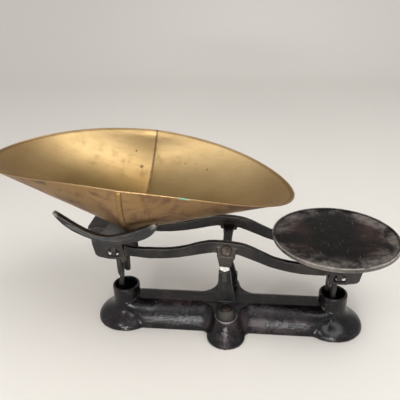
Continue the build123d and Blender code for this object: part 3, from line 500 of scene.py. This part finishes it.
def weldedCopy(nodeName):
    mesh = bpy.data.meshes.new(nodeName + "Work")
    work = bmesh.new()
    work.from_mesh(nodes[nodeName].data)
    bmesh.ops.remove_doubles(work, verts=work.verts, dist=weldGap)
    work.to_mesh(mesh)
    work.free()
    return mesh


def settled(piece):
    # the piece's mesh with its modifiers worked in
    bpy.context.view_layer.update()
    view = bpy.context.evaluated_depsgraph_get()
    mesh = bpy.data.meshes.new_from_object(piece.evaluated_get(view))
    piece.modifiers.clear()
    piece.data = mesh
    return mesh


def ofVertices(mesh, key):
    flat = np.zeros(len(mesh.vertices) * 3, np.float32)
    mesh.vertices.foreach_get(key, flat)
    return flat.reshape(-1, 3)


def lumps(points, size, seed):
    # slow waves of a hand-rammed mould
    shift = Vector((seed * 1.7, seed * 0.9, seed * 2.3))
    return np.array([noise.noise(Vector(p) / size + shift) for p in points])


postCast = {
    "body": "base", "slot": "post_iron", "finish": "postJapan",
    "voxel": 0.5 * mm, "rounds": 5, "wave": 0.10 * mm, "waveSize": 6 * mm,
}
castings = {
    "base": {
        "body": "base", "slot": "base_iron", "finish": "baseJapan",
        "voxel": 1.1 * mm, "rounds": 5, "wave": 0.14 * mm, "waveSize": 17 * mm,
    },
    "front_post": postCast,
    "rear_post": postCast,
    "beam": {
        "body": "beam", "slot": "beam_iron", "finish": "beamJapan",
        "voxel": 0.85 * mm, "rounds": 5, "wave": 0.22 * mm, "waveSize": 9 * mm,
    },
    "knife_holders": {
        "body": "beam", "slot": "beam_iron", "finish": "holderJapan",
        "voxel": 0.45 * mm, "rounds": 4, "wave": 0.12 * mm, "waveSize": 4 * mm,
    },
    "scoop_cradle": {
        "body": "scoop_carrier", "slot": "cradle_iron", "finish": "cradleJapan",
        "voxel": 0.8 * mm, "rounds": 4, "wave": 0.16 * mm, "waveSize": 9 * mm, "below": 6 * mm,
    },
    "plate_bracket": {
        "body": "plate_carrier", "slot": "cradle_iron", "finish": "cradleJapan",
        "voxel": 0.8 * mm, "rounds": 4, "wave": 0.16 * mm, "waveSize": 8 * mm,
    },
    "weight_plate": {
        "body": "plate_carrier", "slot": "plate_iron", "finish": "platePaint",
        "voxel": 0.8 * mm, "rounds": 2, "wave": 0.10 * mm, "waveSize": 18 * mm,
    },
}
fineWave = {"share": 0.45, "size": 0.4, "seed": 3}


def castPiece(nodeName, plan, seed, carve, bend):
    words = nodeName.split("_")
    name = words[0] + "".join(w.title() for w in words[1:]) + "Casting"
    piece = bpy.data.objects.new(name, weldedCopy(nodeName))
    scene.collection.objects.link(piece)
    voxels = piece.modifiers.new("voxels", "REMESH")
    voxels.mode = "VOXEL"
    voxels.voxel_size = plan["voxel"]
    worn = piece.modifiers.new("worn corners", "SMOOTH")
    worn.factor = 0.5
    worn.iterations = plan["rounds"]
    mesh = settled(piece)
    points = ofVertices(mesh, "co")
    outward = ofVertices(mesh, "normal")
    wave = plan["wave"] * lumps(points, plan["waveSize"], seed)
    fine = lumps(points, plan["waveSize"] * fineWave["size"], seed + fineWave["seed"])
    wave += plan["wave"] * fineWave["share"] * fine
    if carve:
        wave = wave + carve(points, outward)
    points = points + outward * wave[:, None]
    if bend:
        points = bend(points)
    # no further out than the solid, but for a prong that reaches lower
    low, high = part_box(nodeName)
    points = np.clip(points, np.array(low) - [0, 0, plan.get("below", 0)], np.array(high))
    mesh.vertices.foreach_set("co", points.astype(np.float32).ravel())
    mesh.update()
    mesh.shade_smooth()
    mesh.materials.clear()
    mesh.materials.append(finishes[plan["finish"]])
    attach(piece, plan["body"])
    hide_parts(nodeName)
    print("cast", name, len(mesh.polygons))


# An end foot: radii and heights of the solid in millimetres, and the sweep that wears it down
bellFlare = {
    "foot": 39.5, "cup": 17.6, "lip": 5.0, "top": 29.5,
    "dome": [(38.3, 5.8), (32.5, 14.2), (23.6, 20.0)],
    "throat": [(23.6, 20.0), (19.5, 23.6), (17.6, 29.5)],
    "fall": 14.8, "bow": 2.5, "band": 6.0, "margin": 1.3,
    "barFrom": 0.25, "barBlend": 0.4, "barHold": 0.9,
}


def arcRadius(line, heights):
    # radius at each height of the circular arc through three points
    radii, levels = np.array(line).T
    slopes = 2 * np.stack([np.diff(radii), np.diff(levels)], 1)
    middle = np.linalg.solve(slopes, np.diff(radii ** 2 + levels ** 2))
    size = math.hypot(radii[0] - middle[0], levels[0] - middle[1])
    side = 1 if radii[1] > middle[0] else -1
    return middle[0] + side * np.sqrt(np.maximum(size ** 2 - (heights - middle[1]) ** 2, 0))


def flareBells(points):
    # the bells run out to their feet in a hollow sweep
    points = points.copy()
    heights = np.maximum(points[:, 2] / mm, 0)
    foot, cup, lip = bellFlare["foot"], bellFlare["cup"], bellFlare["lip"]
    domeLow, domeTop = bellFlare["dome"][0], bellFlare["dome"][-1]
    chamfer = np.interp(heights, [lip, domeLow[1]], [foot, domeLow[0]])
    dome = arcRadius(bellFlare["dome"], heights)
    throat = arcRadius(bellFlare["throat"], heights)
    cast = np.where(heights < domeLow[1], chamfer, np.where(heights < domeTop[1], dome, throat))
    worn = cup + (foot - cup) * np.exp(-((heights / bellFlare["fall"]) ** bellFlare["bow"]))
    level = heights < bellFlare["top"]
    for x in bellCentres:
        reach = np.hypot(points[:, 0] - x, points[:, 1]) / mm
        near = np.clip(bellFlare["margin"] - (reach - cast) / bellFlare["band"], 0, 1) * level
        toBar = (x - points[:, 0]) / mm * np.sign(x) / np.maximum(reach, 1)
        held = np.clip((toBar - bellFlare["barFrom"]) / bellFlare["barBlend"], 0, 1)
        near = near * (1 - bellFlare["barHold"] * held)
        share = 1 + near * (worn - cast) / np.maximum(reach, cast)
        points[:, 0] = x + (points[:, 0] - x) * share
        points[:, 1] = points[:, 1] * share
    return points


armEnd = {
    "along": (52 * mm, 100 * mm), "aside": (22 * mm, 31 * mm), "out": 15 * mm, "up": 2.4 * mm,
}


def runOutArms(points):
    # both arms keep their height close up to the hangers
    points = points.copy()
    share = np.interp(np.abs(points[:, 0]), armEnd["along"], [0, 1])
    side = np.interp(np.abs(points[:, 1]), armEnd["aside"], [0, 1])
    share = share * share * (3 - 2 * share)
    points[:, 0] += np.sign(points[:, 0]) * armEnd["out"] * share * side
    points[:, 2] += armEnd["up"] * share * side
    return points


rearProng = {
    "y": 8 * mm, "top": 90 * mm, "full": 84 * mm, "wide": 1.65, "longer": 5 * mm,
    "low": 80 * mm, "lowBlend": 12 * mm,
}


def fillProng(points):
    # the rear prong of the cradle's hanger is broader and longer than the front one
    points = points.copy()
    chosen = (points[:, 1] > rearProng["y"]) & (points[:, 2] < rearProng["top"])
    if chosen.any():
        part = points[chosen]
        middle = part[part[:, 2] < rearProng["full"], 0]
        middle = (middle.min() + middle.max()) / 2
        drop = rearProng["top"] - rearProng["full"]
        share = np.clip((rearProng["top"] - part[:, 2]) / drop, 0, 1)
        part[:, 0] += (part[:, 0] - middle) * (rearProng["wide"] - 1) * share
        lower = np.clip((rearProng["low"] - part[:, 2]) / rearProng["lowBlend"], 0, 1)
        part[:, 2] -= rearProng["longer"] * share * lower
        points[chosen] = part
    return points


# The groove's line is in shares of the bar's length from its right tip
barGroove = {
    "tipX": -70.5 * mm, "tipZ": 177.8 * mm, "long": 105.5 * mm,
    "line": [
        (0.09, -0.085), (0.22, -0.15), (0.38, -0.19), (0.53, -0.185), (0.70, -0.135), (0.88, -0.03),
    ],
    "depth": 1.2 * mm, "half": 1.4 * mm, "faceY": 78.9 * mm, "faceDepth": 1.2 * mm, "upright": 0.6,
}


def grooveBars(points, outward):
    # a shallow groove along the outer face of both cradle bars
    line = [
        (barGroove["tipX"] - a * barGroove["long"], barGroove["tipZ"] + b * barGroove["long"])
        for a, b in barGroove["line"]
    ]
    near = np.full(len(points), 1.0)
    for (x0, z0), (x1, z1) in zip(line, line[1:]):
        dx, dz = x1 - x0, z1 - z0
        share = ((points[:, 0] - x0) * dx + (points[:, 2] - z0) * dz) / (dx * dx + dz * dz)
        share = np.clip(share, 0, 1)
        gap = np.hypot(points[:, 0] - x0 - share * dx, points[:, 2] - z0 - share * dz)
        near = np.minimum(near, gap)
    outer = np.abs(points[:, 1]) > barGroove["faceY"] - barGroove["faceDepth"]
    onFace = outer & (np.abs(outward[:, 1]) > barGroove["upright"])
    shape = np.clip(1 - near / barGroove["half"], 0, 1)
    return np.where(onFace, -barGroove["depth"] * shape, 0)


carvings = {"scoop_cradle": grooveBars}
bends = {"base": flareBells, "beam": runOutArms, "scoop_cradle": fillProng}
for index, (nodeName, plan) in enumerate(castings.items()):
    castPiece(nodeName, plan, index * 5 + 1, carvings.get(nodeName), bends.get(nodeName))


# Small steel pieces keep the frame's solids, with broken corners

steelPieces = {
    "knifeSteel": ["centre_knives"],
    "bearingSteel": ["end_knives", "post_bearings", "cradle_bearings", "plate_bearings"],
    "screwSteel": [
        "post_screws", "knife_screws", "check_pin", "cradle_leg_rivet", "cradle_foot_pin",
        "plate_leg_rivet", "plate_foot_pin", "plate_screw",
    ],
    "rodSteel": ["cradle_leg", "plate_leg", "check_rod"],
}
brokenCorner = {"width": 0.18 * mm, "segments": 2, "sharper": 35}

for finishName, members in steelPieces.items():
    for nodeName in members:
        piece = nodes[nodeName]
        piece.data.materials.clear()
        piece.data.materials.append(finishes[finishName])
        weld = piece.modifiers.new("weld", "WELD")
        weld.merge_threshold = weldGap
        broken = piece.modifiers.new("broken corners", "BEVEL")
        broken.width = brokenCorner["width"]
        broken.segments = brokenCorner["segments"]
        broken.limit_method = "ANGLE"
        broken.angle_limit = math.radians(brokenCorner["sharper"])
print("steel pieces finished")


# Scoop: two troughs of thin sheet, a rolled rim and a soldered ridge

panPlace = Matrix.Translation((pan["x"], 0, pan["z"])) @ Matrix.Rotation(
    math.radians(pan["tilt"]), 4, "Y"
)


def rimHeight(x):
    return pan["crown"] - pan["rimRadius"] + math.sqrt(pan["rimRadius"] ** 2 - x * x)


def tubeMiddle(x):
    # height of the tube's axis that the trough is a slice of
    return pan["radius"] - pan["depth"] + x * pan["depth"] / pan["half"]


def spread(x, radius=pan["radius"]):
    # angle from the bottom of the trough up to the rim
    return math.acos(max(-1, min(1, (tubeMiddle(x) - rimHeight(x)) / radius)))


def dent(x, angle, edge):
    # soft dents that die away at the ridge, the rim and the tip
    place = Vector((x, pan["radius"] * angle, pan["dentLevel"])) / pan["dentSize"]
    fade = max(0, 1 - edge ** 4) * min(1, abs(x) / pan["dentFade"])
    return -pan["dent"] * abs(noise.noise(place)) * fade


def panPoint(side, x, angle, radius):
    return Vector((side * x, radius * math.sin(angle), tubeMiddle(x) - radius * math.cos(angle)))


def panPiece(name, work, finishNames, nodeName=None):
    # a piece of the scoop, built in the scoop's own axes and set down on its cradle
    mesh = bpy.data.meshes.new(name)
    work.to_mesh(mesh)
    work.free()
    for finishName in finishNames:
        mesh.materials.append(finishes[finishName])
    mesh.shade_smooth()
    piece = bpy.data.objects.new(name, mesh)
    piece.matrix_world = panPlace
    scene.collection.objects.link(piece)
    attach(piece, "scoop")
    if nodeName:
        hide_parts(nodeName)
    return piece


def sheetHalf(name, side, nodeName):
    work = bmesh.new()
    layers = []
    for radius in (pan["radius"], pan["radius"] - pan["sheet"]):
        rows = []
        for i in range(pan["along"] + 1):
            x = pan["half"] * math.sin(i / pan["along"] * math.pi / 2)
            reach = spread(x, radius)
            row = []
            for j in range(pan["around"] + 1):
                edge = 2 * j / pan["around"] - 1
                angle = reach * edge
                depth = radius + dent(side * x, angle, edge)
                row.append(work.verts.new(panPoint(side, x, angle, depth)))
            rows.append(row)
        layers.append(rows)
    for layer, rows in enumerate(layers):
        for i in range(pan["along"]):
            for j in range(pan["around"]):
                corners = [rows[i][j], rows[i + 1][j], rows[i + 1][j + 1], rows[i][j + 1]]
                face = work.faces.new(corners if (layer == 0) == (side < 0) else corners[::-1])
                face.material_index = layer
    outer, inner = layers
    for i in range(pan["along"]):
        for j in (0, pan["around"]):
            work.faces.new([outer[i][j], outer[i + 1][j], inner[i + 1][j], inner[i][j]])
    for j in range(pan["around"]):
        work.faces.new([outer[0][j], inner[0][j], inner[0][j + 1], outer[0][j + 1]])
    bmesh.ops.remove_doubles(work, verts=work.verts, dist=pan["weld"])
    bmesh.ops.recalc_face_normals(work, faces=work.faces)
    piece = panPiece(name, work, ("outsideBrass", "insideBrass"), nodeName)
    piece.data.set_sharp_from_angle(angle=math.radians(pan["sharper"]))


def joinRings(work, rings, closed):
    # faces from each ring to the next, the two ends capped or joined
    following = rings[1:] + (rings[:1] if closed else [])
    for one, other in zip(rings, following):
        for k in range(len(one)):
            n = (k + 1) % len(one)
            work.faces.new([one[k], one[n], other[n], other[k]])
    if not closed:
        work.faces.new(rings[0])
        work.faces.new(rings[-1])
    bmesh.ops.recalc_face_normals(work, faces=work.faces)


def tube(name, points, across, upward, radii, finishName, closed=False, sides=12):
    # a bead through points, its section an ellipse on the two given directions
    work = bmesh.new()
    rings = []
    for point, first, second in zip(points, across, upward):
        ring = []
        for k in range(sides):
            turn = 2 * math.pi * k / sides
            offset = first * (radii[0] * math.cos(turn)) + second * (radii[1] * math.sin(turn))
            ring.append(work.verts.new(point + offset))
        rings.append(ring)
    joinRings(work, rings, closed)
    panPiece(name, work, (finishName,))


def rimBead():
    # the rolled rim runs once round the whole scoop
    steps = pan["along"]
    radii = (pan["beadRadius"], pan["beadRadius"] * pan["beadTall"])
    # up points away from a place this far under the middle of the rim
    under = Vector((0, 0, 40 * mm))
    shares = [math.sin(i / steps * math.pi / 2) for i in range(steps + 1)]
    right = [(1, u, -1) for u in shares[:-1]] + [(1, u, 1) for u in shares[:0:-1]]
    order = right + [(-side, share, -edge) for side, share, edge in right]
    points, outs, ups = [], [], []
    for side, share, edge in order:
        x = pan["half"] * share
        angle = edge * spread(x)
        outer = panPoint(side, x, angle, pan["radius"] + pan["beadOut"])
        further = panPoint(side, x, angle, pan["radius"] + pan["beadOut"] + mm)
        outs.append((further - outer).normalized())
        points.append(outer)
    total = len(points)
    spine = list(points)
    for k in range(total):
        along = (spine[(k + 1) % total] - spine[k - 1]).normalized()
        up = along.cross(outs[k]).normalized()
        if up.dot(spine[k] + under) < 0:
            up = -up
        outs[k] = (outs[k] - along * outs[k].dot(along)).normalized()
        ups.append(up)
        points[k] = points[k] - up * radii[1]
    tube("scoopRim", points, outs, ups, radii, "rimBrass", closed=True)


# The ridge's strip and solder end just short of the rim; sections in millimetres
ridge = {
    "share": 0.985, "solderSteps": 30, "solder": (0.65, 0.3), "stripSteps": 36, "stripHalf": 3.0,
    "acrossSteps": 6, "sunk": 0.1, "edge": 0.35, "dome": 0.4,
}


def ridgeBead():
    # the thin line of solder inside, where the two troughs meet
    reach = spread(0) * ridge["share"]
    points, outs, ups = [], [], []
    for k in range(2 * ridge["solderSteps"] + 1):
        angle = reach * (k / ridge["solderSteps"] - 1)
        inner = panPoint(1, 0, angle, pan["radius"] - pan["sheet"])
        outer = panPoint(1, 0, angle, pan["radius"])
        points.append(inner)
        ups.append((inner - outer).normalized())
        outs.append(Vector((1, 0, 0)))
    radii = [size * mm for size in ridge["solder"]]
    tube("scoopSolder", points, outs, ups, radii, "solder", sides=8)


def seamStrip():
    # folded strip outside over the ridge, domed a little across its width
    work = bmesh.new()
    reach = spread(0) * ridge["share"]
    across = [k / ridge["acrossSteps"] - 1 for k in range(2 * ridge["acrossSteps"] + 1)]
    rings = []
    for k in range(2 * ridge["stripSteps"] + 1):
        angle = reach * (k / ridge["stripSteps"] - 1)
        lower, upper = [], []
        for share in across:
            x = abs(share) * ridge["stripHalf"] * mm
            side = -1 if share < 0 else 1
            dome = (ridge["edge"] + ridge["dome"] * (1 - share ** 4)) * mm
            inner = panPoint(side, x, angle, pan["radius"] - ridge["sunk"] * mm)
            lower.append(work.verts.new(inner))
            upper.append(work.verts.new(panPoint(side, x, angle, pan["radius"] + dome)))
        rings.append(upper + lower[::-1])
    joinRings(work, rings, False)
    panPiece("scoopSeamStrip", work, ("seamBrass",), "scoop_seam")


sheetHalf("scoopRightSheet", 1, "scoop_right")
sheetHalf("scoopLeftSheet", -1, "scoop_left")
rimBead()
ridgeBead()
seamStrip()
print("scoop made")


# Stage, light and camera

paleTable = Recipe("paleTable").finish({"Base Color": tint(230, 225, 217), "Roughness": 0.6})
sweep = {"front": -4.0, "wall": 2.6, "bend": 1.0, "high": 3.4, "side": 5.0, "steps": 16}
profile = [(sweep["front"], 0.0)]
for k in range(sweep["steps"] + 1):
    turn = math.pi / 2 * k / sweep["steps"]
    away = sweep["wall"] - sweep["bend"] + sweep["bend"] * math.sin(turn)
    profile.append((away, sweep["bend"] * (1 - math.cos(turn))))
profile.append((sweep["wall"], sweep["high"]))
floorMesh = bpy.data.meshes.new("paleSweep")
corners = [(x, y, z) for y, z in profile for x in (-sweep["side"], sweep["side"])]
strips = [(2 * k, 2 * k + 1, 2 * k + 3, 2 * k + 2) for k in range(len(profile) - 1)]
floorMesh.from_pydata(corners, [], strips)
floorMesh.materials.append(paleTable)
floorMesh.shade_smooth()
floor = bpy.data.objects.new("paleSweep", floorMesh)
scene.collection.objects.link(floor)

lamps = {
    "topPanel": {"at": (0.38, -0.42, 1.40), "size": (1.0, 0.85), "watts": 9.8, "spread": 180},
    "windowPanel": {"at": (-0.55, -0.80, 1.02), "size": (0.11, 0.15), "watts": 2.4, "spread": 180},
    "frontStrip": {"at": (-0.10, -1.80, 0.30), "size": (1.0, 0.06), "watts": 0.9, "spread": 30},
}
aim = Vector((0, 0, 0.1))
for name, plan in lamps.items():
    lamp = bpy.data.lights.new(name, "AREA")
    lamp.shape = "RECTANGLE"
    lamp.size, lamp.size_y = plan["size"]
    lamp.energy = plan["watts"]
    lamp.spread = math.radians(plan["spread"])
    stand = bpy.data.objects.new(name, lamp)
    stand.location = plan["at"]
    stand.rotation_mode = "QUATERNION"
    stand.rotation_quaternion = (aim - Vector(plan["at"])).to_track_quat("-Z", "Y")
    scene.collection.objects.link(stand)

# The room is a little dimmer where the camera or a gloss sees it
room = {"colour": (0.98, 0.985, 1.0, 1), "light": 0.68, "seen": 0.62}
scene.world = bpy.data.worlds.new("softRoom")
sky = NodeTree(scene.world)
cameraRay = sky.add("ShaderNodeLightPath", {}, {}, "Is Camera Ray")
glossyRay = sky.add("ShaderNodeLightPath", {}, {}, "Is Glossy Ray")
seen = sky.add("ShaderNodeMath", {"operation": "MAXIMUM"}, {0: cameraRay, 1: glossyRay})
level = sky.add("ShaderNodeMapRange", {}, {0: seen, 3: room["light"], 4: room["seen"]})
glow = sky.add("ShaderNodeBackground", {}, {"Color": room["colour"], "Strength": level})
sky.add("ShaderNodeOutputWorld", {}, {"Surface": glow})

view = {
    "at": (23.62 * mm, -490.03 * mm, 399.04 * mm), "yaw": 6.34, "down": 24.9, "roll": 1.21,
    "lens": 41.4, "sensor": 36, "near": 0.01,
}
lens = bpy.data.cameras.new("photoView")
lens.lens = view["lens"]
lens.sensor_width = view["sensor"]
lens.clip_start = view["near"]
camera = bpy.data.objects.new("photoView", lens)
camera.matrix_world = (
    Matrix.Translation(view["at"])
    @ Matrix.Rotation(math.radians(view["yaw"]), 4, "Z")
    @ Matrix.Rotation(math.radians(90 - view["down"]), 4, "X")
    @ Matrix.Rotation(math.radians(-view["roll"]), 4, "Z")
)
scene.collection.objects.link(camera)
scene.camera = camera
scene.view_settings.view_transform = "Standard"
print("stage set")
